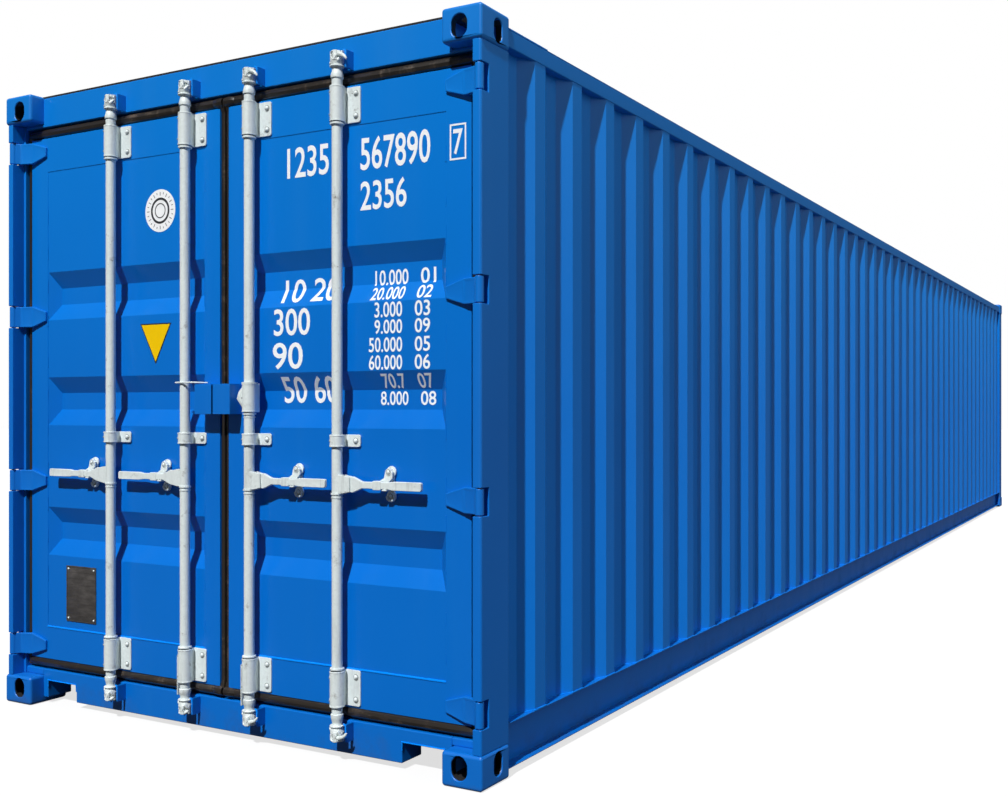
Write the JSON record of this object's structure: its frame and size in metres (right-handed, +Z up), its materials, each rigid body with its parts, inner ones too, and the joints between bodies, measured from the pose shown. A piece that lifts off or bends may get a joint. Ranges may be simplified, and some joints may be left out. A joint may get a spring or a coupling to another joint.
{
  "type": "shipping container",
  "caption": "Forty foot steel freight container with ribbed sides, hinged end doors, turning locking bars, lifting handles and hollow corner castings.",
  "frame": {"origin": "on the ground under the middle of the container", "axes": "+X out of the door end, +Y to the right of someone facing the doors, +Z up"},
  "size_m": [12.192, 2.438, 2.591],
  "materials": {
    "blue_paint": "satin",
    "door_paint": "satin",
    "side_paint": "satin",
    "roof_paint": "satin",
    "casting_paint": "painted",
    "galvanised": "hot-dip zinc",
    "bare_steel": "greased",
    "seal_rubber": "matt",
    "floor_board": "sealed plywood",
    "underframe_coating": "bitumen"
  },
  "bodies": {
    "frame": {"bottom_corner_castings": "casting_paint", "top_corner_castings": "casting_paint", "right_door_post": "blue_paint", "left_door_post": "blue_paint", "right_front_post": "blue_paint", "left_front_post": "blue_paint", "door_header": "blue_paint", "door_sill": "blue_paint", "sill_ends": "blue_paint", "front_top_rail": "blue_paint", "front_bottom_rail": "blue_paint", "top_side_rails": "blue_paint", "bottom_side_rails": "blue_paint", "right_side_wall": "side_paint", "left_side_wall": "side_paint", "front_wall": "side_paint", "roof": "roof_paint", "roof_corner_plates": "roof_paint", "floor": "floor_board", "cross_members": "underframe_coating", "gooseneck_tunnel": "underframe_coating", "cam_keepers": "blue_paint", "hinge_pins": "bare_steel"},
    "left_door": {"left_door_frame": "door_paint", "left_door_panel": "door_paint", "left_door_seal": "seal_rubber", "left_hinge_blades": "blue_paint", "left_bar_guides": "galvanised", "left_handle_catches": "galvanised", "left_lock_box": "blue_paint"},
    "right_door": {"right_door_frame": "door_paint", "right_door_panel": "door_paint", "right_door_seal": "seal_rubber", "right_hinge_blades": "blue_paint", "right_bar_guides": "galvanised", "right_handle_catches": "galvanised", "right_lock_box": "blue_paint"},
    "left_outer_bar": {"left_outer_bar": "galvanised"},
    "left_outer_handle": {"left_outer_handle": "galvanised"},
    "left_inner_bar": {"left_inner_bar": "galvanised"},
    "left_inner_handle": {"left_inner_handle": "galvanised"},
    "right_inner_bar": {"right_inner_bar": "galvanised"},
    "right_inner_handle": {"right_inner_handle": "galvanised"},
    "right_outer_bar": {"right_outer_bar": "galvanised"},
    "right_outer_handle": {"right_outer_handle": "galvanised"}
  },
  "joints": [
    {"name": "left_door_swing", "type": "hinge", "parent": "frame", "child": "left_door", "pos_m": [6.074, -1.197, 1.3], "axis": [0, 0, -1], "range_deg": [0, 260]},
    {"name": "right_door_swing", "type": "hinge", "parent": "frame", "child": "right_door", "pos_m": [6.074, 1.197, 1.3], "axis": [0, 0, 1], "range_deg": [0, 260]},
    {"name": "left_outer_bar_turn", "type": "hinge", "parent": "left_door", "child": "left_outer_bar", "pos_m": [6.069, -0.59, 1.302], "axis": [0, 0, -1], "range_deg": [-90, 0]},
    {"name": "left_outer_handle_lift", "type": "hinge", "parent": "left_outer_bar", "child": "left_outer_handle", "pos_m": [6.069, -0.636, 0.99], "axis": [-1, 0, 0], "range_deg": [0, 12]},
    {"name": "left_inner_bar_turn", "type": "hinge", "parent": "left_door", "child": "left_inner_bar", "pos_m": [6.069, -0.168, 1.302], "axis": [0, 0, -1], "range_deg": [-90, 0]},
    {"name": "left_inner_handle_lift", "type": "hinge", "parent": "left_inner_bar", "child": "left_inner_handle", "pos_m": [6.069, -0.214, 0.99], "axis": [-1, 0, 0], "range_deg": [0, 12]},
    {"name": "right_inner_bar_turn", "type": "hinge", "parent": "right_door", "child": "right_inner_bar", "pos_m": [6.069, 0.168, 1.302], "axis": [0, 0, 1], "range_deg": [-90, 0]},
    {"name": "right_inner_handle_lift", "type": "hinge", "parent": "right_inner_bar", "child": "right_inner_handle", "pos_m": [6.069, 0.214, 0.99], "axis": [1, 0, 0], "range_deg": [0, 12]},
    {"name": "right_outer_bar_turn", "type": "hinge", "parent": "right_door", "child": "right_outer_bar", "pos_m": [6.069, 0.59, 1.302], "axis": [0, 0, 1], "range_deg": [-90, 0]},
    {"name": "right_outer_handle_lift", "type": "hinge", "parent": "right_outer_bar", "child": "right_outer_handle", "pos_m": [6.069, 0.636, 0.99], "axis": [1, 0, 0], "range_deg": [0, 12]}
  ]
}
